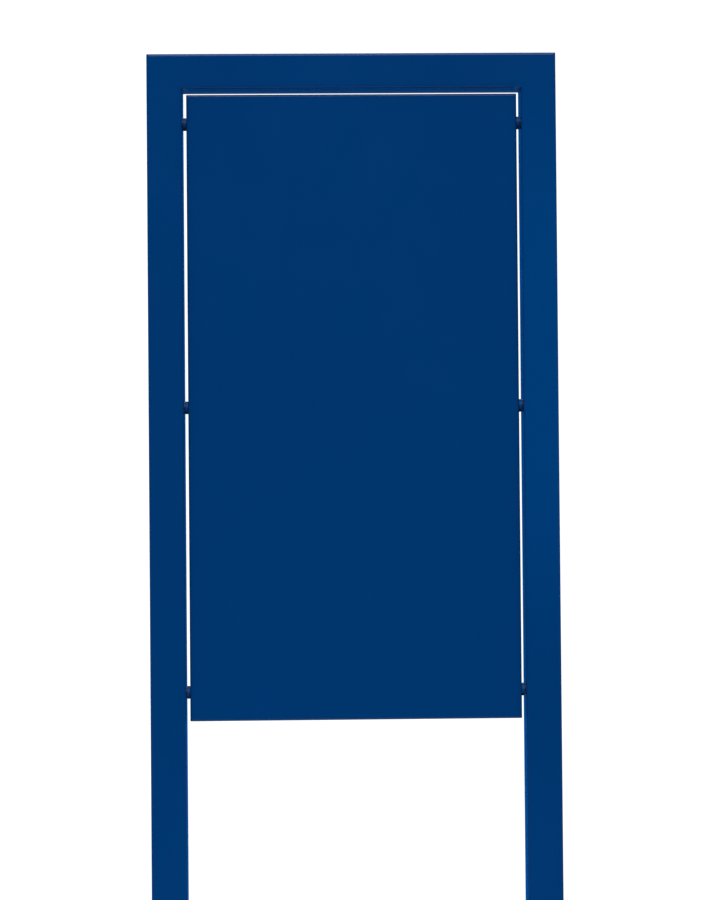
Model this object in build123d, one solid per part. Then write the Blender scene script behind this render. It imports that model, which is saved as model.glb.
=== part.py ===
from build123d import *
import os

# Freestanding post and panel sign. Millimetres, +Z up. The origin is on the ground, midway
# between the posts and at the middle of their depth; the sign's face looks along -Y.

# Portal frame of square steel tube
OVERALL_WIDTH = 700.0
OVERALL_HEIGHT = 2000.0
TUBE_SIZE = 60.0
TUBE_WALL = 3.0
TUBE_CORNER_R = 5.0
MITRE_GRIND_R = 2.5

# Radial room left between a piece and the hole or foot that holds it tight
FIT_CLEARANCE = 0.05

# Base plates and their anchor holes
PLATE_WIDTH = 140.0
PLATE_DEPTH = 200.0
PLATE_THICKNESS = 12.0
PLATE_CORNER_R = 10.0
PLATE_EDGE_BREAK = 1.0
ANCHOR_SPACING_X = 100.0
ANCHOR_SPACING_Y = 160.0
ANCHOR_HOLE_D = 14.0
DRAIN_HOLE_D = 20.0
WELD_LEG = 5.0
WELD_LAND = 0.4

# Panel casing: a folded tray in front, a screwed cover behind
PANEL_HEIGHT = 1070.0
TOP_GAP = 9.0
SHEET = 3.0
BEND_INSIDE_R = 1.0
TRAY_CORNER_R = 1.0
COVER_GAP = 1.0
COVER_CORNER_R = 2.0
WEEP_HOLE_D = 8.0
WEEP_HOLE_SPACING = 240.0

# Inner frame of channels, and what holds it together
CHANNEL_DEPTH = 32.0
CHANNEL_WALL = 3.0
CHANNEL_FLANGE = 28.0
TAPE_THICKNESS = 1.0
TAPE_MARGIN = 3.0
GASKET_THICKNESS = 1.0
GASKET_WIDTH = 24.0
CLEAT_THICKNESS = 3.0
CLEAT_SHORT_LEG = 30.0
CLEAT_LONG_LEG = 75.0
CLEAT_SIDE_CLEARANCE = 1.0
RIVET_D = 4.8
RIVET_HEAD_D = 9.0
RIVET_HEAD_DEPTH = 1.3
RIVET_TAIL_D = 7.2
RIVET_TAIL_LENGTH = 5.0
RIVET_CROWN = 1.0
RIVETS_IN_LONG_LEG = 2
RIVET_EDGE = 12.0
RIVET_PITCH = 24.0

# Hanging points: a bolt through a spacer into a threaded boss, three on each side
HANGER_END_OFFSET = 48.0
SPACER_D = 22.0
SPACER_LENGTH = 5.0
SPACER_EDGE_BREAK = 0.4
ISOLATOR_D = 21.0
ISOLATOR_THICKNESS = 1.0
BOLT_D = 10.0
BOLT_HEAD_FLATS = 16.0
BOLT_HEAD_HEIGHT = 6.4
BOLT_TIP_CHAMFER = 1.0
BOLT_HOLE_CLEARANCE = 0.5
BOLT_SLEEVE_CLEARANCE = 0.25
BOLT_ENGAGEMENT = 11.0
FLAT_WASHER_D = 20.0
FLAT_WASHER_THICKNESS = 2.0
SPRING_WASHER_D = 18.0
SPRING_WASHER_THICKNESS = 2.5
SPRING_WASHER_SPLIT = 2.0
BOSS_D = 18.0
BOSS_LENGTH = 15.0

# Rear cover screws in clinch nuts
SCREW_D = 5.0
SCREW_HEAD_D = 9.4
SCREW_LENGTH = 12.0
SCREW_SOCKET = 3.0
SCREW_SOCKET_DEPTH = 2.0
SCREW_HOLE_CLEARANCE = 0.3
SCREW_SINK = 0.2
SCREW_END_OFFSET = 75.0
SIDE_SCREWS = 4
END_SCREWS = 3
NUT_D = 9.5
NUT_HEIGHT = 4.0
NUT_STEM_D = 6.4

# Worked out from the sizes above
LEFT, RIGHT = -1, 1
SIDES = {"left": LEFT, "right": RIGHT}
POST_X = (OVERALL_WIDTH - TUBE_SIZE) / 2
CLEAR_HALF = OVERALL_WIDTH / 2 - TUBE_SIZE
PANEL_GAP = SPACER_LENGTH + 2 * ISOLATOR_THICKNESS
PANEL_HALF = CLEAR_HALF - PANEL_GAP
PANEL_TOP = OVERALL_HEIGHT - TUBE_SIZE - TOP_GAP
PANEL_BOTTOM = PANEL_TOP - PANEL_HEIGHT
PANEL_MID = (PANEL_TOP + PANEL_BOTTOM) / 2
CHANNEL_FRONT = -CHANNEL_DEPTH / 2
CHANNEL_BACK = CHANNEL_DEPTH / 2
PANEL_FRONT = CHANNEL_FRONT - TAPE_THICKNESS - SHEET
PANEL_BACK = CHANNEL_BACK + GASKET_THICKNESS + SHEET
INNER_HALF = PANEL_HALF - SHEET
INNER_TOP = PANEL_TOP - SHEET
INNER_BOTTOM = PANEL_BOTTOM + SHEET
RAIL_HALF = INNER_HALF - CHANNEL_FLANGE
WEB_FACE = INNER_HALF - CHANNEL_WALL
HANGER_Z = (PANEL_TOP - HANGER_END_OFFSET, PANEL_MID, PANEL_BOTTOM + HANGER_END_OFFSET)
HANGER_NAMES = ("upper", "middle", "lower")
FLANGE_MID = CHANNEL_FLANGE / 2
SLEEVE_BORE_D = BOLT_D + 2 * BOLT_SLEEVE_CLEARANCE
BOLT_HOLE_R = BOLT_D / 2 + BOLT_HOLE_CLEARANCE
SCREW_HOLE_R = SCREW_D / 2 + SCREW_HOLE_CLEARANCE
RAIL_FOOT_Z = [(a + b) / 2 - FLANGE_MID for a, b in zip(HANGER_Z, HANGER_Z[1:])]

# The corners that take a cleat, as (side, outer face of the level web, up or down from it)
CORNERS = [(side, z, up) for side in SIDES.values() for z, up in ((INNER_TOP, -1), (INNER_BOTTOM, 1))]
RAIL_ENDS = [(side, z, 1) for side in SIDES.values() for z in RAIL_FOOT_Z]


def save(shape, name):
    """Write one sub-part as its own STEP file."""
    export_step(shape, f"parts/{name}.step")


def group(solids):
    """Several separate solids that share one node."""
    return Compound(children=list(solids))


def at(x=0.0, y=0.0, z=0.0):
    """A place, with no turn."""
    return Location((x, y, z))


def block(x_range, y_range, z_range):
    """A box between two limits on each axis, given in either order."""
    spans = [sorted(limits) for limits in (x_range, y_range, z_range)]
    size = [high - low for low, high in spans]
    centre = [(high + low) / 2 for low, high in spans]
    return Location(tuple(centre)) * Box(*size)


def pin_x(radius, x_range, z):
    """A round bar along X between two places."""
    low, high = sorted(x_range)
    bar = Cylinder(radius, high - low, rotation=(0, 90, 0))
    return at((low + high) / 2, 0, z) * bar


def turned(profile):
    """A solid of revolution about Z from (radius, height) points."""
    outline = Polyline(*[(r, 0, h) for r, h in profile], close=True)
    return revolve(make_face(outline), Axis.Z)


def along_x(solid, side):
    """Turn a solid that points up so that it points outwards on the given side."""
    return Rotation(0, 90 * side, 0) * solid


# Portal frame


def square_tube(length):
    """A hollow bar standing on Z = 0, with rounded outer and inner corners."""
    bore = TUBE_SIZE - 2 * TUBE_WALL
    section = RectangleRounded(TUBE_SIZE, TUBE_SIZE, TUBE_CORNER_R)
    section -= RectangleRounded(bore, bore, TUBE_CORNER_R - TUBE_WALL)
    return extrude(section, length)


def silhouette():
    """The frame's outline from the front, with its top corners ground round."""
    outline = Plane.XZ * at(0, OVERALL_HEIGHT / 2) * Rectangle(OVERALL_WIDTH, OVERALL_HEIGHT)
    body = extrude(outline, TUBE_SIZE, both=True)
    crown = body.edges().filter_by(Axis.Y).group_by(Axis.Z)[-1]
    return fillet(crown, MITRE_GRIND_R)


def mitre_wedge(side):
    """Everything under the 45 degree mitre at one top corner, as a prism through the depth."""
    outer = side * OVERALL_WIDTH / 2
    inner = side * CLEAR_HALF
    top, under = OVERALL_HEIGHT, OVERALL_HEIGHT - TUBE_SIZE
    corners = [(outer, top), (inner, under), (inner, 0), (outer, 0)]
    face = make_face(Plane.XZ * Polyline(*corners, close=True))
    return extrude(face, TUBE_SIZE, both=True)


def post(side):
    """One upright, mitred at the top, with a hole in its inner wall for each boss."""
    bar = at(side * POST_X, 0, PLATE_THICKNESS) * square_tube(OVERALL_HEIGHT - PLATE_THICKNESS)
    bar = bar & mitre_wedge(side) & silhouette()
    inner_face = side * CLEAR_HALF
    for z in HANGER_Z:
        inside = inner_face + side * (TUBE_WALL + TUBE_CORNER_R)
        start = inner_face - side * TUBE_WALL
        bar -= pin_x(BOSS_D / 2 + FIT_CLEARANCE, (start, inside), z)
    return bar


def header_rail():
    """The top bar, mitred at both ends."""
    lying = Rotation(0, 90, 0) * square_tube(OVERALL_WIDTH)
    bar = at(-OVERALL_WIDTH / 2, 0, OVERALL_HEIGHT - TUBE_SIZE / 2) * lying
    bar = bar & silhouette()
    for side in SIDES.values():
        bar -= mitre_wedge(side)
    return bar


def base_plate(side):
    """Foot plate with four anchor holes and a drain hole under the tube."""
    outline = RectangleRounded(PLATE_WIDTH, PLATE_DEPTH, PLATE_CORNER_R)
    plate = extrude(outline, PLATE_THICKNESS)
    plate = chamfer(plate.faces().sort_by(Axis.Z)[-1].edges(), PLATE_EDGE_BREAK)
    anchors = GridLocations(ANCHOR_SPACING_X, ANCHOR_SPACING_Y, 2, 2)
    through = at(0, 0, PLATE_THICKNESS / 2)
    plate -= through * anchors * Cylinder(ANCHOR_HOLE_D / 2, 2 * PLATE_THICKNESS)
    plate -= through * Cylinder(DRAIN_HOLE_D / 2, 2 * PLATE_THICKNESS)
    return at(side * POST_X) * plate


def base_weld(side):
    """Fillet weld all round the foot of a post."""
    across = TUBE_SIZE + 2 * WELD_LEG
    bead = extrude(RectangleRounded(across, across, TUBE_CORNER_R + WELD_LEG), WELD_LEG)
    bead = chamfer(bead.faces().sort_by(Axis.Z)[-1].edges(), WELD_LEG - WELD_LAND)
    bore = TUBE_SIZE + 2 * FIT_CLEARANCE
    hole = RectangleRounded(bore, bore, TUBE_CORNER_R + FIT_CLEARANCE)
    bead -= extrude(hole, WELD_LEG)
    return at(side * POST_X, 0, PLATE_THICKNESS) * bead


# Hanging points


def ring(outer_d, inner_d, thickness, side, near_x, z):
    """A washer or sleeve on a hanging bolt, running outwards from near_x."""
    body = Cylinder(outer_d / 2, thickness) - Cylinder(inner_d / 2, thickness)
    centre = side * (near_x + thickness / 2)
    return at(centre, 0, z) * along_x(body, side)


def spacer(side, z):
    """Coated sleeve that stands the panel off the post."""
    near_x = PANEL_HALF + ISOLATOR_THICKNESS
    body = ring(SPACER_D, SLEEVE_BORE_D, SPACER_LENGTH, side, near_x, z)
    rims = body.edges().filter_by(GeomType.CIRCLE).sort_by(lambda e: e.radius)[-2:]
    return chamfer(rims, SPACER_EDGE_BREAK)


def isolator(side, z, near_x):
    """Thin nylon washer at either end of a spacer."""
    return ring(ISOLATOR_D, SLEEVE_BORE_D, ISOLATOR_THICKNESS, side, near_x, z)


def boss(side, z):
    """Threaded insert, flush with the inner face of the post."""
    return ring(BOSS_D, BOLT_D + 2 * FIT_CLEARANCE, BOSS_LENGTH, side, CLEAR_HALF, z)


def flat_washer(side, z):
    """Plain washer on the side channel's web."""
    near_x = WEB_FACE - FLAT_WASHER_THICKNESS
    return ring(FLAT_WASHER_D, SLEEVE_BORE_D, FLAT_WASHER_THICKNESS, side, near_x, z)


def spring_washer(side, z):
    """Split ring under the bolt head."""
    near_x = WEB_FACE - FLAT_WASHER_THICKNESS - SPRING_WASHER_THICKNESS
    body = ring(SPRING_WASHER_D, SLEEVE_BORE_D, SPRING_WASHER_THICKNESS, side, near_x, z)
    half = SPRING_WASHER_SPLIT / 2
    x_range = (side * near_x, side * (near_x + SPRING_WASHER_THICKNESS))
    gap = block(x_range, (-half, half), (z, z + SPRING_WASHER_D))
    return body - gap


def panel_bolt(side, z):
    """Hex bolt from inside the casing into the boss."""
    seat = WEB_FACE - FLAT_WASHER_THICKNESS - SPRING_WASHER_THICKNESS
    tip = CLEAR_HALF + BOLT_ENGAGEMENT
    hexagon = RegularPolygon(BOLT_HEAD_FLATS / 2, 6, major_radius=False)
    head = extrude(hexagon, BOLT_HEAD_HEIGHT)
    shank = at(0, 0, BOLT_HEAD_HEIGHT) * extrude(Circle(BOLT_D / 2), tip - seat)
    shank = chamfer(shank.edges().filter_by(GeomType.CIRCLE).sort_by(Axis.Z)[-1], BOLT_TIP_CHAMFER)
    return at(side * (seat - BOLT_HEAD_HEIGHT), 0, z) * along_x(head + shank, side)


# Panel casing


def weep_holes():
    """Cutters for the drain holes through the tray's bottom and the channel on it."""
    reach = 2 * (SHEET + CHANNEL_WALL)
    spots = [at(side * WEEP_HOLE_SPACING / 2, 0, INNER_BOTTOM) for side in SIDES.values()]
    return [spot * Cylinder(WEEP_HOLE_D / 2, reach) for spot in spots]


def front_tray():
    """Face sheet with its four sides folded back."""
    x_outer, x_inner = (-PANEL_HALF, PANEL_HALF), (-INNER_HALF, INNER_HALF)
    body = block(x_outer, (PANEL_FRONT, PANEL_BACK), (PANEL_BOTTOM, PANEL_TOP))
    body = fillet(body.edges().filter_by(Axis.Y), TRAY_CORNER_R)
    body = fillet(body.faces().sort_by(Axis.Y)[0].edges(), SHEET + BEND_INSIDE_R)
    deep = (PANEL_FRONT + SHEET, PANEL_BACK)
    hollow = block(x_inner, deep, (INNER_BOTTOM, INNER_TOP))
    hollow = fillet(hollow.faces().sort_by(Axis.Y)[0].edges(), BEND_INSIDE_R)
    body -= hollow
    for side in SIDES.values():
        for z in HANGER_Z:
            reach = (side * (INNER_HALF - SHEET), side * (PANEL_HALF + SHEET))
            body -= pin_x(BOLT_HOLE_R, reach, z)
    for hole in weep_holes():
        body -= hole
    return body


def screw_points():
    """(x, z) of each rear cover screw: down both sides, then along both ends."""
    side_x = INNER_HALF - FLANGE_MID
    low = PANEL_BOTTOM + SCREW_END_OFFSET
    high = PANEL_TOP - SCREW_END_OFFSET
    side_step = (high - low) / (SIDE_SCREWS - 1)
    end_step = 2 * RAIL_HALF / (END_SCREWS + 1)
    points = []
    for side in SIDES.values():
        for i in range(SIDE_SCREWS):
            points.append((side * side_x, low + i * side_step))
    for z in (INNER_BOTTOM + FLANGE_MID, INNER_TOP - FLANGE_MID):
        for i in range(END_SCREWS):
            points.append((-RAIL_HALF + (i + 1) * end_step, z))
    return points


def facing_back(solid, x, y, z):
    """Place a solid that points up so that it points out of the back."""
    return at(x, y, z) * Rotation(-90, 0, 0) * solid


def countersink(clearance):
    """Screw head cone with its top at Z = 0."""
    head_r, shank_r = SCREW_HEAD_D / 2, SCREW_D / 2
    depth = head_r - shank_r
    top_r = head_r + clearance
    return turned([(0, 0), (top_r, 0), (shank_r + clearance, -depth), (0, -depth)])


def rear_cover():
    """Flat sheet that closes the back, with a countersunk hole for each screw."""
    half = INNER_HALF - COVER_GAP
    sheet = block(
        (-half, half), (PANEL_BACK - SHEET, PANEL_BACK),
        (INNER_BOTTOM + COVER_GAP, INNER_TOP - COVER_GAP),
    )
    sheet = fillet(sheet.edges().filter_by(Axis.Y), COVER_CORNER_R)
    cutter = countersink(SCREW_HOLE_CLEARANCE) + Cylinder(SCREW_HOLE_R, 4 * SHEET)
    for x, z in screw_points():
        sheet -= facing_back(cutter, x, PANEL_BACK, z)
    return sheet


def rear_gasket():
    """Rubber frame between the channels and the cover."""
    half = INNER_HALF - COVER_GAP
    low, high = INNER_BOTTOM + COVER_GAP, INNER_TOP - COVER_GAP
    layer = (CHANNEL_BACK, CHANNEL_BACK + GASKET_THICKNESS)
    body = block((-half, half), layer, (low, high))
    hole_half = half - GASKET_WIDTH
    body -= block((-hole_half, hole_half), layer, (low + GASKET_WIDTH, high - GASKET_WIDTH))
    for x, z in screw_points():
        body -= facing_back(Cylinder(SCREW_HOLE_R, 4 * GASKET_THICKNESS), x, CHANNEL_BACK, z)
    return body


def cover_screw(x, z):
    """Countersunk screw with a hexagon socket."""
    body = countersink(0)
    body += at(0, 0, -SCREW_LENGTH / 2) * Cylinder(SCREW_D / 2, SCREW_LENGTH)
    socket = RegularPolygon(SCREW_SOCKET / 2, 6, major_radius=False)
    body -= at(0, 0, -SCREW_SOCKET_DEPTH) * extrude(socket, 2 * SCREW_SOCKET_DEPTH)
    return facing_back(body, x, PANEL_BACK - SCREW_SINK, z)


def clinch_nut(x, z):
    """Pressed-in nut: its head bears on the inside of the flange, its stem fills the hole."""
    bore = SCREW_D / 2 + FIT_CLEARANCE
    stem = CHANNEL_WALL
    outline = [
        (bore, 0), (NUT_STEM_D / 2, 0), (NUT_STEM_D / 2, -stem),
        (NUT_D / 2, -stem), (NUT_D / 2, -stem - NUT_HEIGHT), (bore, -stem - NUT_HEIGHT),
    ]
    return facing_back(turned(outline), x, CHANNEL_BACK, z)


# Inner frame


def side_channel(side):
    """Upright channel against one side of the casing, open towards the middle."""
    wall, mouth = side * INNER_HALF, side * RAIL_HALF
    length = (INNER_BOTTOM, INNER_TOP)
    slot = (CHANNEL_FRONT + CHANNEL_WALL, CHANNEL_BACK - CHANNEL_WALL)
    body = block((wall, mouth), (CHANNEL_FRONT, CHANNEL_BACK), length)
    body -= block((side * WEB_FACE, mouth), slot, length)
    for z in HANGER_Z:
        body -= pin_x(BOLT_HOLE_R, (wall, side * WEB_FACE), z)
    return cut_for_fixings(body)


def cross_channel(z, up):
    """Level channel between the side channels: its outer face at z, its flanges up or down."""
    length = (-RAIL_HALF, RAIL_HALF)
    slot = (CHANNEL_FRONT + CHANNEL_WALL, CHANNEL_BACK - CHANNEL_WALL)
    body = block(length, (CHANNEL_FRONT, CHANNEL_BACK), (z, z + up * CHANNEL_FLANGE))
    body -= block(length, slot, (z + up * CHANNEL_WALL, z + up * CHANNEL_FLANGE))
    return cut_for_fixings(body)


def bottom_channel():
    body = cross_channel(INNER_BOTTOM, 1)
    for hole in weep_holes():
        body -= hole
    return body


def cut_for_fixings(body):
    """Cut the holes for whichever clinch nuts and rivets reach this channel."""
    limits = body.bounding_box()
    stem = Cylinder(NUT_STEM_D / 2 + FIT_CLEARANCE, 2 * CHANNEL_WALL)
    for x, z in screw_points():
        if limits.min.X < x < limits.max.X and limits.min.Z < z < limits.max.Z:
            body -= facing_back(stem, x, CHANNEL_BACK - CHANNEL_WALL / 2, z)
    for corner in CORNERS + RAIL_ENDS:
        for cutter in joint_rivets(corner, FIT_CLEARANCE):
            body -= cutter
    return body


def rivet(clearance=0.0):
    """Blind rivet standing on Z = 0: flush head below, formed tail above both sheets."""
    grip = CHANNEL_WALL + CLEAT_THICKNESS
    shank_r = RIVET_D / 2 + clearance
    shaft = [(0, 0), (RIVET_HEAD_D / 2 + clearance, 0), (shank_r, RIVET_HEAD_DEPTH), (shank_r, grip)]
    if clearance:
        return turned(shaft + [(0, grip)])
    tail_r, top = RIVET_TAIL_D / 2, grip + RIVET_TAIL_LENGTH
    return turned(shaft + [(tail_r, grip), (tail_r, top - RIVET_CROWN), (tail_r / 2, top), (0, top)])


def in_corner(solid, corner):
    """Move a solid from the origin into one corner, mirroring it to suit."""
    side, z, up = corner
    if side == RIGHT:
        solid = mirror(solid, Plane.YZ)
    if up < 0:
        solid = mirror(solid, Plane.XY)
    return at(side * WEB_FACE, 0, z) * solid


def joint_rivets(corner, clearance=0.0):
    """The three rivets of one cleat, or the cutters for their holes."""
    one = rivet(clearance)
    level = [CLEAT_LONG_LEG - RIVET_EDGE - i * RIVET_PITCH for i in range(RIVETS_IN_LONG_LEG)]
    height = CHANNEL_WALL + CLEAT_THICKNESS + RIVET_EDGE
    upright = at(-CHANNEL_WALL, 0, height) * Rotation(0, 90, 0) * one
    return [in_corner(solid, corner) for solid in [at(x) * one for x in level] + [upright]]


def cleat(corner):
    """Unequal angle between a cross channel's web and the side channel's web."""
    half = (CHANNEL_DEPTH - 2 * CHANNEL_WALL) / 2 - CLEAT_SIDE_CLEARANCE
    foot = CHANNEL_WALL
    body = block((0, CLEAT_LONG_LEG), (-half, half), (foot, foot + CLEAT_THICKNESS))
    body += block((0, CLEAT_THICKNESS), (-half, half), (foot, foot + CLEAT_SHORT_LEG))
    body = in_corner(body, corner)
    for cutter in joint_rivets(corner, FIT_CLEARANCE):
        body -= cutter
    return body


def tape_strips():
    """Adhesive between the face sheet and each front flange."""
    layer = (PANEL_FRONT + SHEET, CHANNEL_FRONT)
    wide = (RAIL_HALF + TAPE_MARGIN, INNER_HALF - TAPE_MARGIN)
    long_z = (INNER_BOTTOM + TAPE_MARGIN, INNER_TOP - TAPE_MARGIN)
    strips = [block((side * wide[0], side * wide[1]), layer, long_z) for side in SIDES.values()]
    level = (TAPE_MARGIN - RAIL_HALF, RAIL_HALF - TAPE_MARGIN)
    tall = CHANNEL_FLANGE - TAPE_MARGIN
    for z in (INNER_BOTTOM, INNER_TOP - CHANNEL_FLANGE, *RAIL_FOOT_Z):
        strips.append(block(level, layer, (z + TAPE_MARGIN, z + tall)))
    return strips


# Write every sub-part

os.makedirs("parts", exist_ok=True)
for name, side in SIDES.items():
    save(post(side), f"{name}_post")
    save(base_plate(side), f"{name}_base_plate")
    save(base_weld(side), f"{name}_base_weld")
    save(side_channel(side), f"{name}_side_channel")
    for height, z in zip(HANGER_NAMES, HANGER_Z):
        save(spacer(side, z), f"{height}_{name}_spacer")

hangers = [(side, z) for side in SIDES.values() for z in HANGER_Z]
save(group(isolator(side, z, PANEL_HALF) for side, z in hangers), "panel_isolators")
outer_isolator = CLEAR_HALF - ISOLATOR_THICKNESS
save(group(isolator(side, z, outer_isolator) for side, z in hangers), "post_isolators")
save(group(boss(side, z) for side, z in hangers), "threaded_bosses")
save(group(panel_bolt(side, z) for side, z in hangers), "panel_bolts")
save(group(flat_washer(side, z) for side, z in hangers), "flat_washers")
save(group(spring_washer(side, z) for side, z in hangers), "spring_washers")

save(header_rail(), "header_rail")
save(front_tray(), "front_tray")
save(rear_cover(), "rear_cover")
save(rear_gasket(), "rear_gasket")
save(group(cover_screw(x, z) for x, z in screw_points()), "cover_screws")
save(group(clinch_nut(x, z) for x, z in screw_points()), "clinch_nuts")

save(cross_channel(INNER_TOP, -1), "top_channel")
save(bottom_channel(), "bottom_channel")
for name, z in zip(("upper_cross_rail", "lower_cross_rail"), RAIL_FOOT_Z):
    save(cross_channel(z, 1), name)
save(group(cleat(corner) for corner in CORNERS), "corner_cleats")
save(group(cleat(corner) for corner in RAIL_ENDS), "rail_cleats")
rivets = [solid for corner in CORNERS + RAIL_ENDS for solid in joint_rivets(corner)]
save(group(rivets), "cleat_rivets")
save(group(tape_strips()), "bonding_tape")
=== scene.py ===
# %% [markdown]
# # A post and panel sign in blue powder coat
# The real object is a frame of 60 mm square steel tube, mitred and welded at the top, with a flat
# aluminium casing hung inside it on six short spacers. It is all one deep blue. A plain shape in
# one colour lives by its finish and its edges, so this lesson spends its time on the coat, the
# welds at the feet and the screws at the back.
#
# The measured model comes first, as a fixed frame. Everything after it is placed from its boxes.

# %% Load the measured model
from math import cos, pi, radians, sin

import bmesh
import bpy
from mathutils import Euler, Matrix, Vector


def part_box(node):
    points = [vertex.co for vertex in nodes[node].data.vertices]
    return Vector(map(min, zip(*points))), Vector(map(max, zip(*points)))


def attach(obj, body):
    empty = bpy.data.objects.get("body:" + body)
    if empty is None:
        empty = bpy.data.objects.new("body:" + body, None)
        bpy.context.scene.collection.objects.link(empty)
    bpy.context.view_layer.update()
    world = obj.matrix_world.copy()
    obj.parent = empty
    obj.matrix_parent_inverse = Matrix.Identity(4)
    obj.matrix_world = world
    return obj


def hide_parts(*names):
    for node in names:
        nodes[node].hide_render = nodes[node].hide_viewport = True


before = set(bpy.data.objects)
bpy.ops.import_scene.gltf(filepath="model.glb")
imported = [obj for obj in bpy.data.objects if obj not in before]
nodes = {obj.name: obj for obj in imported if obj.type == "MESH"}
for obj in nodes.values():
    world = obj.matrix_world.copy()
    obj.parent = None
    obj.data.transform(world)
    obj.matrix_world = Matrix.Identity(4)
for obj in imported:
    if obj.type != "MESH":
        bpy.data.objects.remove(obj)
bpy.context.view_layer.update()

scene = bpy.context.scene

MM = 0.001


def corners(node):
    """Lowest and highest corner of a node, and its centre, in metres."""
    low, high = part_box(node)
    return low, high, (low + high) / 2


post_low, post_high, left_post_mid = corners("left_post")
right_post_mid = corners("right_post")[2]
tray_low, tray_high = corners("front_tray")[:2]
plate_top = corners("left_base_plate")[1].z
tube = post_high.y - post_low.y
print("tube", round(tube / MM, 1), "mm, plate top", round(plate_top / MM, 1), "mm")

# %% [markdown]
# ## Colour and node helpers
# Paint colours are easiest to note down as sRGB hex, the way a colour chart gives them, but the
# shaders work in linear light. One function turns the first into the second. A second function
# adds a shader node with its settings and links, so that a material reads as a short list.


# %% Helpers for colour and nodes
def linear(hex_colour):
    """An sRGB hex colour as linear RGBA."""
    values = [int(hex_colour[i:i + 2], 16) / 255 for i in (1, 3, 5)]
    return [v / 12.92 if v <= 0.04045 else ((v + 0.055) / 1.055) ** 2.4 for v in values] + [1.0]


def add_node(tree, kind, links=(), **settings):
    """Add a node. A setting is one of its properties, or else one of its inputs by name or number
    under "inputs". A link is (input, other node, its output)."""
    node = tree.nodes.new(kind)
    values = settings.pop("inputs", {})
    for name, value in settings.items():
        setattr(node, name, value)
    for name, value in values.items():
        node.inputs[name].default_value = value
    for socket, other, output in links:
        tree.links.new(other.outputs[output], node.inputs[socket])
    return node


print("a mid blue in linear light:", [round(v, 4) for v in linear("#01366C")])

# %% [markdown]
# ## The camera
# A camera is three things: where it stands, where it looks and how long its lens is. This one
# stands under four metres in front of the sign, a little to its left and at chest height, and
# looks almost level. It is rolled by half a degree, as a hand-held one is. The long lens keeps
# the uprights nearly parallel.

# %% Camera
EYE = Vector((-0.0779, -3.7757, 1.2557))
PAN, TILT, ROLL = radians(-1.141), radians(0.998), radians(-0.475)
LENS = 88.0

camera_data = bpy.data.cameras.new("camera")
camera_data.lens = LENS
camera = bpy.data.objects.new("camera", camera_data)
turn = Euler((pi / 2 + TILT, 0, PAN)).to_matrix() @ Euler((0, 0, ROLL)).to_matrix()
camera.matrix_world = Matrix.Translation(EYE) @ turn.to_4x4()
scene.collection.objects.link(camera)
scene.camera = camera
print("camera", [round(v, 3) for v in EYE], "lens", LENS)

# %% [markdown]
# ## The studio
# Gloss paint shows whatever stands in front of it. A deep blue turns grey if a white room is
# reflected in it, so the light comes from high up and the room is dark at the height of the sign:
# then the flat faces and the upright edges mirror only darkness, and the blue stays deep. Lamps
# close by would leave the feet darker than the top, so the light is a broad, far one, like a big
# window, with a dome of soft light that is bright overhead and dark at the horizon. The backdrop
# is white to the camera only, and the floor is a pale disc whose rim fades away.
#
# Two more lights are low down. One is a soft fill from below, everywhere but in front, and only
# diffuse rays meet it, so it never shows as a reflection. The other is a blue card behind the
# sign, and only glossy rays meet it. It is seen at a glancing angle along the insides of the
# tubes, which would mirror nothing but darkness without it.

# %% The world
# Each height or depth is part of a unit direction. A height is 0 at eye level and 1 overhead. A
# depth is -1 straight in front of the sign, 0 beside it and 1 straight behind it.
DOME_FOOT, DOME_FULL, DOME = 0.4, 0.9, 1.0
FILL_TOP, FILL_FULL, LOW_FILL = 0.1, 0.0, 1.4
FILL_FRONT, FILL_SIDE = -0.9, -0.6
CARD_SIDE, CARD_FULL = 0.2, 0.5
BLUE_EDGE, GREY_START = 0.25, 0.45
CARD_BLUE, CARD_GREY = "#0062BC", "#B9BDC2"
SOFT_WHITE = "#F4F7FF"
BACKDROP_STRENGTH = 1.1


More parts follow.
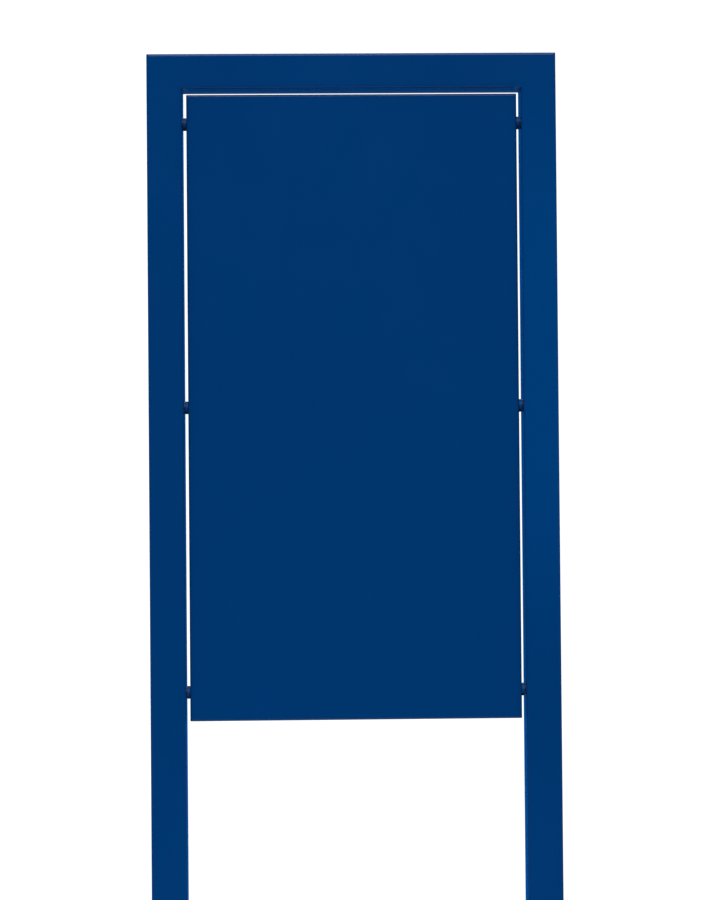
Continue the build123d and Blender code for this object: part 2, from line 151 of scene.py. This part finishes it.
def white_backdrop():
    """White to the camera. Other rays meet a soft dome, a low fill (diffuse rays only) and a blue
    card behind the sign that turns grey away from eye level (glossy rays only)."""
    world = bpy.data.worlds.new("studio")
    world.use_nodes = True
    tree = world.node_tree
    tree.nodes.clear()
    direction = add_node(tree, "ShaderNodeTexCoord")
    axes = add_node(tree, "ShaderNodeSeparateXYZ", [(0, direction, "Generated")])
    dome = add_node(tree, "ShaderNodeMapRange", [("Value", axes, "Z")],
                    interpolation_type="SMOOTHSTEP",
                    inputs={"From Min": DOME_FOOT, "From Max": DOME_FULL,
                            "To Min": 0.0, "To Max": DOME})
    ray = add_node(tree, "ShaderNodeLightPath")
    low = add_node(tree, "ShaderNodeMapRange", [("Value", axes, "Z")],
                   interpolation_type="SMOOTHSTEP",
                   inputs={"From Min": FILL_TOP, "From Max": FILL_FULL,
                           "To Min": 0.0, "To Max": 1.0})
    beside = add_node(tree, "ShaderNodeMapRange", [("Value", axes, "Y")],
                      interpolation_type="SMOOTHSTEP",
                      inputs={"From Min": FILL_FRONT, "From Max": FILL_SIDE,
                              "To Min": 0.0, "To Max": LOW_FILL})
    around = add_node(tree, "ShaderNodeMath", [(0, beside, "Result"), (1, ray, "Is Diffuse Ray")],
                      operation="MULTIPLY")
    total = add_node(tree, "ShaderNodeMath",
                     [(0, around, 0), (1, low, "Result"), (2, dome, "Result")],
                     operation="MULTIPLY_ADD")
    soft = add_node(tree, "ShaderNodeBackground", [("Strength", total, 0)],
                    inputs={"Color": linear(SOFT_WHITE)})
    behind = add_node(tree, "ShaderNodeMapRange", [("Value", axes, "Y")],
                      interpolation_type="SMOOTHSTEP",
                      inputs={"From Min": CARD_SIDE, "From Max": CARD_FULL,
                              "To Min": 0.0, "To Max": 1.0})
    in_gloss = add_node(tree, "ShaderNodeMath", [(0, behind, "Result"), (1, ray, "Is Glossy Ray")],
                        operation="MULTIPLY")
    off_level = add_node(tree, "ShaderNodeMath", [(0, axes, "Z")], operation="ABSOLUTE")
    beyond = add_node(tree, "ShaderNodeMapRange", [("Value", off_level, 0)],
                      interpolation_type="SMOOTHSTEP",
                      inputs={"From Min": BLUE_EDGE, "From Max": GREY_START,
                              "To Min": 0.0, "To Max": 1.0})
    tint = add_node(tree, "ShaderNodeMix", [("Factor", beyond, "Result")], data_type="RGBA",
                    inputs={6: linear(CARD_BLUE), 7: linear(CARD_GREY)})
    card = add_node(tree, "ShaderNodeBackground", [("Color", tint, 2), ("Strength", in_gloss, 0)])
    room = add_node(tree, "ShaderNodeAddShader", [(0, soft, 0), (1, card, 0)])
    white = add_node(tree, "ShaderNodeBackground",
                     inputs={"Color": linear("#FFFFFF"), "Strength": BACKDROP_STRENGTH})
    mix = add_node(tree, "ShaderNodeMixShader",
                   [(0, ray, "Is Camera Ray"), (1, room, 0), (2, white, 0)])
    add_node(tree, "ShaderNodeOutputWorld", [("Surface", mix, 0)])
    # The low fill tells kinds of rays apart, so it may only be met by rays that leave a surface
    world.cycles.sampling_method = "NONE"
    return world


scene.world = white_backdrop()
scene.view_settings.view_transform = "Standard"
print("world", scene.world.name, "dome", DOME, "low fill", LOW_FILL)


# %% The far windows
def far_window(name, azimuth, elevation, spread_angle, strength):
    """A soft light from far away. Azimuth 0 is straight in front of the sign, 90 is to its right."""
    data = bpy.data.lights.new(name, "SUN")
    data.angle = radians(spread_angle)
    data.energy = strength
    light = bpy.data.objects.new(name, data)
    level = cos(radians(elevation))
    towards = Vector((level * sin(radians(azimuth)), -level * cos(radians(azimuth)),
                      sin(radians(elevation))))
    light.rotation_euler = towards.to_track_quat("Z", "Y").to_euler()
    scene.collection.objects.link(light)


far_window("window_front", azimuth=0, elevation=46, spread_angle=36, strength=2.3)
far_window("window_back", azimuth=165, elevation=48, spread_angle=40, strength=1.2)

# %% The floor
FLOOR_RADIUS, FLOOR_SOLID, FLOOR_SIDES = 2.2, 1.1, 96


def pale_floor():
    """Matt grey-white paint that fades out towards the rim of the disc."""
    material = bpy.data.materials.new("matt_white_floor")
    material.use_nodes = True
    tree = material.node_tree
    tree.nodes.clear()
    place = add_node(tree, "ShaderNodeTexCoord")
    distance = add_node(tree, "ShaderNodeVectorMath", [(0, place, "Object")], operation="LENGTH")
    fade = add_node(tree, "ShaderNodeMapRange", [("Value", distance, "Value")],
                    interpolation_type="SMOOTHSTEP",
                    inputs={"From Min": FLOOR_SOLID, "From Max": FLOOR_RADIUS})
    paint = add_node(tree, "ShaderNodeBsdfDiffuse", inputs={"Color": linear("#E9EAEB")})
    clear = add_node(tree, "ShaderNodeBsdfTransparent")
    mix = add_node(tree, "ShaderNodeMixShader", [(0, fade, "Result"), (1, paint, 0), (2, clear, 0)])
    add_node(tree, "ShaderNodeOutputMaterial", [("Surface", mix, 0)])
    return material


floor_mesh = bpy.data.meshes.new("floor")
shape = bmesh.new()
bmesh.ops.create_circle(shape, cap_ends=True, segments=FLOOR_SIDES, radius=FLOOR_RADIUS)
shape.to_mesh(floor_mesh)
shape.free()
floor_mesh.materials.append(pale_floor())
floor = bpy.data.objects.new("floor", floor_mesh)
scene.collection.objects.link(floor)
print("floor", 2 * FLOOR_RADIUS, "m across")

# %% [markdown]
# ## Powder coat
# Powder coat is coloured polyester dust, baked until it flows into one skin about 80 microns
# thick. It melts in small hills, called orange peel, so its reflections are slightly broken, and
# its colour drifts a little where the skin is thicker. It could be drawn as one flat colour with
# one roughness, but that looks like plastic on screen. Here a fine noise raises the peel, a broad
# noise drifts the colour between two close blues, and another one drifts the gloss. Fine dust
# clings to the lowest 16 cm. On the right post a soft oval of lighter blue is a painted sheen,
# light painted into the coat's colour.
#
# Steel and aluminium are coated in separate batches, so they get a coat each. The casing's is a
# shade deeper and smoother. The spacers sit in the shade of the gap, so their blue is painted
# lighter and matt, painted light that makes up for that shade, and they look the same blue as the rest.


# %% Material helpers
def start_material(name):
    """An empty node material with a Principled shader wired to its output."""
    material = bpy.data.materials.new(name)
    material.use_nodes = True
    tree = material.node_tree
    tree.nodes.clear()
    shader = add_node(tree, "ShaderNodeBsdfPrincipled")
    add_node(tree, "ShaderNodeOutputMaterial", [("Surface", shader, 0)])
    return material, tree, shader


def grain(tree, period, detail=2.0, stretch=(1, 1, 1), roughness=0.5):
    """Noise whose patches are about one period across, in metres, on Object coordinates."""
    place = add_node(tree, "ShaderNodeTexCoord")
    size = tuple(s / period for s in stretch)
    scale = add_node(tree, "ShaderNodeMapping", [("Vector", place, "Object")], inputs={"Scale": size})
    return add_node(tree, "ShaderNodeTexNoise", [("Vector", scale, 0)],
                    inputs={"Scale": 1.0, "Detail": detail, "Roughness": roughness})


def ramp(tree, source, stops):
    """Colour stops over a value: (position, hex) pairs."""
    node = add_node(tree, "ShaderNodeValToRGB", [("Fac", source, 0)])
    band = node.color_ramp
    while len(band.elements) < len(stops):
        band.elements.new(0.5)
    for element, (position, colour) in zip(band.elements, stops):
        element.position = position
        element.color = linear(colour)
    return node


def spread(tree, source, low, high, start=0.3, end=0.7):
    """Map the middle of a noise to a range of values."""
    return add_node(tree, "ShaderNodeMapRange", [("Value", source, 0)],
                    inputs={"From Min": start, "From Max": end, "To Min": low, "To Max": high})


def bump(tree, source, height, shader):
    """Raise the surface by a height in metres where the source is white."""
    node = add_node(tree, "ShaderNodeBump", [("Height", source, 0)],
                    inputs={"Distance": height, "Strength": 1.0})
    tree.links.new(node.outputs[0], shader.inputs["Normal"])


# Real orange peel is 1 to 2 mm across. It is drawn at 3 mm so that a few metres away it still
# breaks up the edge of a reflection.
PEEL = 3 * MM
PEEL_HEIGHT = 0.05 * MM
DRIFT, CLOUD, SPECK = 260 * MM, 90 * MM, 1.6 * MM
GLOSS_DRIFT = 0.03
COAT_IOR, COAT_SPECULAR = 1.5, 0.12
SPLASH_TOP = 160 * MM
DUST, DUST_MOST, DUST_ROUGHNESS = "#6E6A63", 0.3, 0.5
PATCH_REACH, PATCH_CORE = 250 * MM, 0.3


# %% Powder coat materials
def add_painted_sheen(tree, blue, middle, half_height, sheen_blue):
    """A Mix node that paints a sheen: the coat's blue turns lighter in a soft oval about the middle, a
    painted highlight.
    """
    place = add_node(tree, "ShaderNodeTexCoord")
    away = add_node(tree, "ShaderNodeVectorMath", [(0, place, "Object")],
                    operation="SUBTRACT", inputs={1: middle})
    along = add_node(tree, "ShaderNodeVectorMath", [(0, away, 0)], operation="MULTIPLY",
                     inputs={1: (1 / PATCH_REACH, 0, 1 / half_height)})
    distance = add_node(tree, "ShaderNodeVectorMath", [(0, along, 0)], operation="LENGTH")
    patch = add_node(tree, "ShaderNodeMapRange", [("Value", distance, "Value")],
                     interpolation_type="SMOOTHSTEP",
                     inputs={"From Min": 1.0, "From Max": PATCH_CORE, "To Min": 0.0, "To Max": 1.0})
    return add_node(tree, "ShaderNodeMix", [("Factor", patch, 0), (6, blue, 0)],
                    data_type="RGBA", inputs={7: linear(sheen_blue)})


def powder_coat(name, deep, light, gloss, peel_height, sheen_patch=None):
    """Baked polyester skin: close blues, uneven gloss, orange peel, and dust near the ground.
    A sheen patch, if given, is a painted sheen: (its middle, its half height, the lighter blue it
    reaches)."""
    material, tree, shader = start_material(name)
    drift = grain(tree, DRIFT, detail=3.0, stretch=(1, 1, 0.5))
    blue, colour_output = ramp(tree, drift, [(0.32, deep), (0.68, light)]), 0
    if sheen_patch:
        blue, colour_output = add_painted_sheen(tree, blue, *sheen_patch), 2
    place = add_node(tree, "ShaderNodeTexCoord")
    axes = add_node(tree, "ShaderNodeSeparateXYZ", [(0, place, "Object")])
    low = add_node(tree, "ShaderNodeMapRange", [("Value", axes, "Z")], interpolation_type="SMOOTHSTEP",
                   inputs={"From Min": SPLASH_TOP, "From Max": 0.0, "To Min": 0.0, "To Max": 1.0})
    specks = grain(tree, SPECK, detail=4.0, roughness=0.7)
    patchy = spread(tree, specks, 0.0, DUST_MOST, start=0.4, end=0.75)
    dust = add_node(tree, "ShaderNodeMath", [(0, low, "Result"), (1, patchy, "Result")],
                    operation="MULTIPLY")
    dusty = add_node(tree, "ShaderNodeMix", [("Factor", dust, 0), (6, blue, colour_output)],
                     data_type="RGBA", inputs={7: linear(DUST)})
    tree.links.new(dusty.outputs[2], shader.inputs["Base Color"])
    cloud = grain(tree, CLOUD, detail=2.0)
    shine = spread(tree, cloud, gloss - GLOSS_DRIFT, gloss + GLOSS_DRIFT)
    rough = add_node(tree, "ShaderNodeMath", [(0, dust, 0), (2, shine, "Result")],
                     operation="MULTIPLY_ADD", inputs={1: DUST_ROUGHNESS})
    tree.links.new(rough.outputs[0], shader.inputs["Roughness"])
    shader.inputs["IOR"].default_value = COAT_IOR
    shader.inputs["Specular IOR Level"].default_value = COAT_SPECULAR
    bump(tree, grain(tree, PEEL, detail=1.0), peel_height, shader)
    return material


DEEP_BLUE = "#00356B"
COAT_GLOSS = 0.2
# The painted sheen on the right post: a soft oval of lighter blue painted into the steel coat's colour,
# standing in for light gleaming there.
PATCH_HEIGHT, PATCH_HALF_HEIGHT = 1.47, 0.56
PAINTED_SHEEN = ((right_post_mid.x, 0, PATCH_HEIGHT), PATCH_HALF_HEIGHT, "#003C76")
steel_coat_and_painted_sheen = powder_coat("powder_coat_on_steel_with_painted_sheen", DEEP_BLUE, "#00376E", COAT_GLOSS,
                         PEEL_HEIGHT, PAINTED_SHEEN)
casing_coat = powder_coat("polyester_powder_coat_on_aluminium", DEEP_BLUE, "#00376D", COAT_GLOSS,
                          0.6 * PEEL_HEIGHT)
# The spacers' blue is painted lighter than the frame's, to make up for the shade in the gap.
spacer_coat_lightened_for_shade = powder_coat("matt_coat_on_spacers_painted_lighter_for_shade", "#00498E", "#004B92", 0.5, PEEL_HEIGHT)
print("coats", steel_coat_and_painted_sheen.name, casing_coat.name, spacer_coat_lightened_for_shade.name)

# %% [markdown]
# ## Bare metals, nylon and rubber
# Little of this shows: the screws at the back, a dark line of nylon at each end of a spacer, and
# the gasket in the gap round the cover. Extruded aluminium carries fine lines along its length,
# turned and rolled steel is smoother, and zinc plate has a faint yellow and blue bloom. The rubber
# is nearly black and the nylon a very dark blue, and both scatter light widely.


# %% Metal, nylon, rubber and tape materials
METAL_GLOSS_DRIFT = 0.06


def drawn_metal(name, dark, light, roughness, stretch, line=0.6 * MM, lift=0.01 * MM):
    """A metal with fine lines along one axis, the axis whose stretch is small."""
    material, tree, shader = start_material(name)
    lines = grain(tree, line, detail=2.0, stretch=stretch)
    metal = ramp(tree, lines, [(0.3, dark), (0.7, light)])
    tree.links.new(metal.outputs[0], shader.inputs["Base Color"])
    shine = spread(tree, lines, roughness - METAL_GLOSS_DRIFT, roughness + METAL_GLOSS_DRIFT)
    tree.links.new(shine.outputs["Result"], shader.inputs["Roughness"])
    shader.inputs["Metallic"].default_value = 1.0
    bump(tree, lines, lift, shader)
    return material


def soft_black(name, dark, light, roughness, period, lift):
    """A dull polymer with a slight moulded grain."""
    material, tree, shader = start_material(name)
    pores = grain(tree, period, detail=3.0)
    tone = ramp(tree, pores, [(0.3, dark), (0.7, light)])
    tree.links.new(tone.outputs[0], shader.inputs["Base Color"])
    shader.inputs["Roughness"].default_value = roughness
    bump(tree, pores, lift, shader)
    return material


LENGTHWISE_Z, LENGTHWISE_X, EVEN = (1, 1, 0.02), (0.02, 1, 1), (1, 1, 1)
upright_aluminium = drawn_metal("extruded_aluminium_upright", "#B4B7BA", "#C9CBCD", 0.38, LENGTHWISE_Z)
level_aluminium = drawn_metal("extruded_aluminium_level", "#B4B7BA", "#C9CBCD", 0.38, LENGTHWISE_X)
stainless = drawn_metal("cold_headed_stainless_steel", "#A5A39F", "#BDBBB6", 0.28, EVEN, 0.4 * MM)
zinc_plate = drawn_metal("zinc_plated_steel", "#9DA3AB", "#BBB9A6", 0.32, EVEN, 2.5 * MM)
nylon = soft_black("black_nylon", "#0A1A2E", "#11243D", 0.5, 0.5 * MM, 0.01 * MM)
rubber = soft_black("epdm_rubber", "#0E0E0F", "#1A1A1B", 0.75, 0.8 * MM, 0.03 * MM)
foam_tape = soft_black("grey_acrylic_foam_tape", "#55565A", "#6B6C70", 0.8, 0.6 * MM, 0.04 * MM)
print("materials", len(bpy.data.materials))

# %% [markdown]
# ## Geometry Nodes helpers
# A Geometry Nodes tree is a recipe that runs on an object: named sizes go in and geometry comes
# out. One helper here starts such a tree. Another runs it, with its sizes set, and keeps the
# result as a plain mesh, because an export drops live instances.


# %% Geometry Nodes helpers
def start_recipe(name, sizes, material):
    """A geometry tree with a Geometry input, a number input for each named size, and its end:
    whatever is linked to the first socket of the returned end node is realized and painted."""
    tree = bpy.data.node_groups.new(name, "GeometryNodeTree")
    tree.interface.new_socket("Geometry", in_out="INPUT", socket_type="NodeSocketGeometry")
    for label in sizes:
        tree.interface.new_socket(label, in_out="INPUT", socket_type="NodeSocketFloat")
    tree.interface.new_socket("Geometry", in_out="OUTPUT", socket_type="NodeSocketGeometry")
    start = add_node(tree, "NodeGroupInput")
    end = add_node(tree, "GeometryNodeRealizeInstances")
    paint = add_node(tree, "GeometryNodeSetMaterial", [("Geometry", end, 0)],
                     inputs={"Material": material})
    add_node(tree, "NodeGroupOutput", [(0, paint, 0)])
    return tree, start, end


def follow_recipe(name, tree, start_mesh, sizes):
    """Run a recipe on a mesh and keep what it makes as a new object with a plain mesh."""
    source = bpy.data.objects.new(name + "_recipe", start_mesh)
    scene.collection.objects.link(source)
    modifier = source.modifiers.new("recipe", "NODES")
    modifier.node_group = tree
    for socket in tree.interface.items_tree:
        if socket.in_out == "INPUT" and socket.name in sizes:
            modifier[socket.identifier] = sizes[socket.name]
    evaluated = source.evaluated_get(bpy.context.evaluated_depsgraph_get())
    mesh = bpy.data.meshes.new_from_object(evaluated)
    mesh.name = name
    bpy.data.objects.remove(source)
    piece = bpy.data.objects.new(name, mesh)
    scene.collection.objects.link(piece)
    print(name, len(mesh.polygons), "faces")
    return piece


def maths(tree, operation, *terms):
    """A Math node. Each term is a number, or a node with the name or number of its output."""
    node = add_node(tree, "ShaderNodeMath", operation=operation)
    for socket, term in zip(node.inputs, terms):
        if isinstance(term, tuple):
            tree.links.new(term[0].outputs[term[1]], socket)
        else:
            socket.default_value = term
    return node, 0


# %% [markdown]
# ## The welds at the feet
# A fillet weld runs all round each foot. The welder moves on a few millimetres at a time, so the
# bead is a row of overlapping pools, each with a curved front. Powder coat softens the ripples but
# leaves them to be seen. A smooth fillet would be simpler, but then the foot looks cast. Here a
# rounded square path carries a bulging quarter section, and the crown is lifted along the path by
# a ripple that lags towards the edges of the bead, which gives the pools their curved fronts.

# %% The weld recipe
WELD_LEG = corners("left_base_weld")[1].z - plate_top
TUBE_CORNER_R = 5 * MM
POOL_PITCH = 3.4 * MM
POOL_HEIGHT = 0.5 * MM
STEPS_ACROSS, STEPS_IN_POOL, STEPS_IN_CORNER = 12, 7, 12
CROWN_BULGE = 0.1
# Lag and stray are shares of a pool's length. The wander is so many patches to a metre
POOL_LAG, POOL_STRAY, WANDER = 0.6, 0.8, 60.0
POOL_FLATNESS, POOL_SINK = 0.7, 0.75


def weld_section(tree, start):
    """Closed quarter section: the root at the origin, then a bulging crown from toe to toe."""
    line = add_node(tree, "GeometryNodeCurvePrimitiveLine")
    points = add_node(tree, "GeometryNodeResampleCurve", [("Curve", line, 0)], mode="COUNT",
                      inputs={"Count": STEPS_ACROSS + 2})
    index = add_node(tree, "GeometryNodeInputIndex")
    share = maths(tree, "DIVIDE", (index, 0), float(STEPS_ACROSS))
    angle = maths(tree, "MULTIPLY_ADD", share, -pi / 2, pi / 2)
    # A straight crown would be leg / (cos + sin) away from the root, and the bulge adds to that
    straight = maths(tree, "ADD", maths(tree, "COSINE", angle), maths(tree, "SINE", angle))
    arch = maths(tree, "SINE", maths(tree, "MULTIPLY", share, pi))
    bulge = maths(tree, "MULTIPLY_ADD", arch, CROWN_BULGE, 1.0)
    reach = maths(tree, "DIVIDE", maths(tree, "MULTIPLY", bulge, (start, "Leg")), straight)
    on_crown = maths(tree, "LESS_THAN", (index, 0), STEPS_ACROSS + 0.5)
    radius = maths(tree, "MULTIPLY", reach, on_crown)
    out = maths(tree, "MULTIPLY", radius, maths(tree, "COSINE", angle))
    # Along a level path the section's own Y axis points down
    down = maths(tree, "MULTIPLY", maths(tree, "MULTIPLY", radius, -1.0), maths(tree, "SINE", angle))
    place = add_node(tree, "ShaderNodeCombineXYZ", [("X", *out), ("Y", *down)])
    shaped = add_node(tree, "GeometryNodeSetPosition", [("Geometry", points, 0), ("Position", place, 0)])
    lift = maths(tree, "MULTIPLY", arch, on_crown)
    tagged = add_node(tree, "GeometryNodeStoreNamedAttribute",
                      [("Geometry", shaped, 0), ("Value", *lift)], inputs={"Name": "crown"})
    return add_node(tree, "GeometryNodeSetSplineCyclic", [(0, tagged, 0)], inputs={"Cyclic": True})


def weld_recipe():
    """A rippled fillet weld round a square tube that stands on a plate."""
    sizes = ("Across", "Corner Radius", "Leg", "Pools", "Pool Height", "Centre X", "Centre Z")
    tree, start, end = start_recipe("foot_weld", sizes, steel_coat_and_painted_sheen)
    square = add_node(tree, "GeometryNodeCurvePrimitiveQuadrilateral",
                      [("Width", start, "Across"), ("Height", start, "Across")])
    rounded = add_node(tree, "GeometryNodeFilletCurve", mode="POLY", inputs={"Count": STEPS_IN_CORNER},
                       links=[("Curve", square, 0), ("Radius", start, "Corner Radius")])
    count = maths(tree, "MULTIPLY", (start, "Pools"), float(STEPS_IN_POOL))
    path = add_node(tree, "GeometryNodeResampleCurve", [("Curve", rounded, 0), ("Count", *count)],
                    mode="COUNT")
    along = add_node(tree, "GeometryNodeSplineParameter")
    tagged = add_node(tree, "GeometryNodeStoreNamedAttribute",
                      [("Geometry", path, 0), ("Value", along, "Factor")], inputs={"Name": "run"})
    level = add_node(tree, "GeometryNodeSetCurveNormal", [("Curve", tagged, 0)], mode="Z_UP")
    bead = add_node(tree, "GeometryNodeCurveToMesh",
                    [("Curve", level, 0), ("Profile Curve", weld_section(tree, start), 0)])
    run = add_node(tree, "GeometryNodeInputNamedAttribute", inputs={"Name": "run"})
    crown = add_node(tree, "GeometryNodeInputNamedAttribute", inputs={"Name": "crown"})
    wander = add_node(tree, "ShaderNodeTexNoise", inputs={"Scale": WANDER, "Detail": 1.0})
    # Each pool is one hump. It lags towards the toes, and its length and height wander a little
    pools = maths(tree, "MULTIPLY", (run, 0), (start, "Pools"))
    lag = maths(tree, "MULTIPLY", (crown, 0), POOL_LAG)
    stray = maths(tree, "MULTIPLY", (wander, 0), POOL_STRAY)
    phase = maths(tree, "ADD", maths(tree, "ADD", pools, lag), stray)
    hump = maths(tree, "ABSOLUTE", maths(tree, "SINE", maths(tree, "MULTIPLY", phase, pi)))
    lobed = maths(tree, "SUBTRACT", maths(tree, "POWER", hump, POOL_FLATNESS), POOL_SINK)
    uneven = maths(tree, "MULTIPLY_ADD", (wander, 0), 1.0, 0.5)
    height = maths(tree, "MULTIPLY", maths(tree, "MULTIPLY", lobed, uneven),
                   maths(tree, "MULTIPLY", (crown, 0), (start, "Pool Height")))
    normal = add_node(tree, "GeometryNodeInputNormal")
    lifted = add_node(tree, "ShaderNodeVectorMath", [(0, normal, 0), ("Scale", *height)],
                      operation="SCALE")
    rippled = add_node(tree, "GeometryNodeSetPosition", [("Geometry", bead, 0), ("Offset", lifted, 0)])
    centre = add_node(tree, "ShaderNodeCombineXYZ", [("X", start, "Centre X"), ("Z", start, "Centre Z")])
    placed = add_node(tree, "GeometryNodeTransform",
                      [("Geometry", rippled, 0), ("Translation", centre, 0)])
    add_node(tree, "GeometryNodeSetShadeSmooth", [("Geometry", placed, 0)])
    tree.links.new(placed.outputs[0], end.inputs[0])
    return tree


perimeter = 4 * (tube - 2 * TUBE_CORNER_R) + 2 * pi * TUBE_CORNER_R
weld_sizes = {"Across": tube, "Corner Radius": TUBE_CORNER_R, "Leg": WELD_LEG,
              "Pools": float(round(perimeter / POOL_PITCH)), "Pool Height": POOL_HEIGHT,
              "Centre Z": plate_top}
weld_tree = weld_recipe()
for side, middle in (("left", left_post_mid), ("right", right_post_mid)):
    weld = follow_recipe(f"{side}_foot_weld", weld_tree, bpy.data.meshes.new("empty"),
                         {**weld_sizes, "Centre X": middle.x})
    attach(weld, "root")
    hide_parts(f"{side}_base_weld")
print("weld", round(perimeter / MM), "mm round,", round(perimeter / POOL_PITCH), "pools")

# %% [markdown]
# ## The rear cover's screws
# The cover is held by countersunk stainless screws with a hexagon socket. They are all the same
# screw, but no two stop at the same angle, because each is tightened until it holds. So one screw
# is turned up as a ring of points per step of its profile, the socket's rings being drawn out to a
# hexagon. A recipe then sets a copy on each point and turns it by a seeded random angle.

# %% One screw
SCREW_HEAD_R, SCREW_SHANK_R, SCREW_LENGTH = 4.7 * MM, 2.5 * MM, 12 * MM
SOCKET_FLATS, SOCKET_DEPTH = 3 * MM, 2 * MM
HEAD_RIM, DRILL_TIP, SOCKET_ROUNDING = 0.25 * MM, 0.3 * MM, 0.05 * MM
ROUND_SEGMENTS = 36


def hexagon_reach(angle):
    """How far a hexagon with flats one unit from its centre reaches at an angle."""
    return 1 / cos((angle + pi / 6) % (pi / 3) - pi / 6)


def screw_mesh():
    """A countersunk screw that points down from its flat top at Z = 0."""
    cone = SCREW_HEAD_R - SCREW_SHANK_R
    flat = SOCKET_FLATS / 2
    socket = [(0.35 * flat, -SOCKET_DEPTH - DRILL_TIP, 0), (0.97 * flat, -SOCKET_DEPTH, 1),
              (flat, -SOCKET_DEPTH + SOCKET_ROUNDING, 1), (flat, -HEAD_RIM, 1),
              (flat + 0.5 * HEAD_RIM, -0.3 * HEAD_RIM, 0.8), (flat + 1.4 * HEAD_RIM, 0, 0)]
    outside = [(SCREW_HEAD_R - 1.2 * HEAD_RIM, 0, 0), (SCREW_HEAD_R - 0.35 * HEAD_RIM, -0.3 * HEAD_RIM, 0),
               (SCREW_HEAD_R, -HEAD_RIM, 0), (SCREW_SHANK_R, -cone - HEAD_RIM, 0),
               (SCREW_SHANK_R, -SCREW_LENGTH + HEAD_RIM, 0), (SCREW_SHANK_R - HEAD_RIM, -SCREW_LENGTH, 0)]
    mesh = bpy.data.meshes.new("cover_screw")
    shape = bmesh.new()
    rings = []
    for radius, height, hexness in socket + outside:
        ring = []
        for i in range(ROUND_SEGMENTS):
            angle = 2 * pi * i / ROUND_SEGMENTS
            reach = radius * (1 + hexness * (hexagon_reach(angle) - 1))
            ring.append(shape.verts.new((reach * cos(angle), reach * sin(angle), height)))
        rings.append(ring)
    for inner, outer in zip(rings, rings[1:]):
        for i in range(ROUND_SEGMENTS):
            j = (i + 1) % ROUND_SEGMENTS
            shape.faces.new((inner[i], outer[i], outer[j], inner[j]))
    shape.faces.new(rings[0])
    shape.faces.new(reversed(rings[-1]))
    bmesh.ops.recalc_face_normals(shape, faces=shape.faces)
    shape.to_mesh(mesh)
    shape.free()
    return mesh


one_screw = screw_mesh()
print("one screw", len(one_screw.polygons), "faces")

# %% Where the screws go
SCREW_END_OFFSET = 75 * MM
SIDE_SCREWS, END_SCREWS = 4, 3

screw_top = corners("cover_screws")[1].y
low, high = tray_low.z + SCREW_END_OFFSET, tray_high.z - SCREW_END_OFFSET
screw_points = []
for channel in ("left_side_channel", "right_side_channel"):
    for i in range(SIDE_SCREWS):
        level = low + i * (high - low) / (SIDE_SCREWS - 1)
        screw_points.append((corners(channel)[2].x, screw_top, level))
for channel in ("bottom_channel", "top_channel"):
    start, stop, middle = corners(channel)
    for i in range(END_SCREWS):
        share = (i + 1) / (END_SCREWS + 1)
        screw_points.append((start.x + share * (stop.x - start.x), screw_top, middle.z))
print("screws", len(screw_points))


# %% The screw recipe
TURN_SEED = 5


def screw_recipe():
    """A screw on every point, facing backwards, each turned by its own angle."""
    tree, start, end = start_recipe("cover_screws", ("Largest Turn",), stainless)
    pattern = bpy.data.objects.new("screw_pattern", one_screw)
    source = add_node(tree, "GeometryNodeObjectInfo", inputs={"Object": pattern})
    placed = add_node(tree, "GeometryNodeInstanceOnPoints",
                      [("Points", start, 0), ("Instance", source, "Geometry")],
                      inputs={"Rotation": (-pi / 2, 0, 0)})
    spin = add_node(tree, "FunctionNodeRandomValue", [(3, start, "Largest Turn")],
                    inputs={"Seed": TURN_SEED})
    about = add_node(tree, "ShaderNodeCombineXYZ", [("Z", spin, 1)])
    turned = add_node(tree, "GeometryNodeRotateInstances",
                      [("Instances", placed, 0), ("Rotation", about, 0)])
    tree.links.new(turned.outputs[0], end.inputs[0])
    return tree


points_mesh = bpy.data.meshes.new("screw_points")
points_mesh.from_pydata(screw_points, [], [])
screws = follow_recipe("rear_cover_screws", screw_recipe(), points_mesh, {"Largest Turn": pi / 3})
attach(screws, "root")
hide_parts("cover_screws")

# %% [markdown]
# ## Finishes on the measured parts
# Each part came with the name of its finish, so a short table turns names into the materials made
# above. Aluminium that lies level gets lines along X, and the rest gets lines along Z.

# %% Assign the finishes
finishes = {
    "blue_powder_coated_steel": steel_coat_and_painted_sheen,
    "blue_powder_coated_aluminium": casing_coat,
    "mill_aluminium": upright_aluminium,
    "stainless_steel": stainless,
    "zinc_plated_steel": zinc_plate,
    "black_nylon": nylon,
    "black_epdm_rubber": rubber,
    "grey_acrylic_foam_tape": foam_tape,
}
level_parts = ("top_channel", "bottom_channel", "upper_cross_rail", "lower_cross_rail")
for name, node in nodes.items():
    for slot in node.material_slots:
        if name in level_parts:
            slot.material = level_aluminium
        # The spacers get the coat whose blue is painted lighter against the shade in the gap.
        elif name.endswith("spacer"):
            slot.material = spacer_coat_lightened_for_shade
        else:
            slot.material = finishes[slot.material.name]
print("finished", len(nodes), "parts")
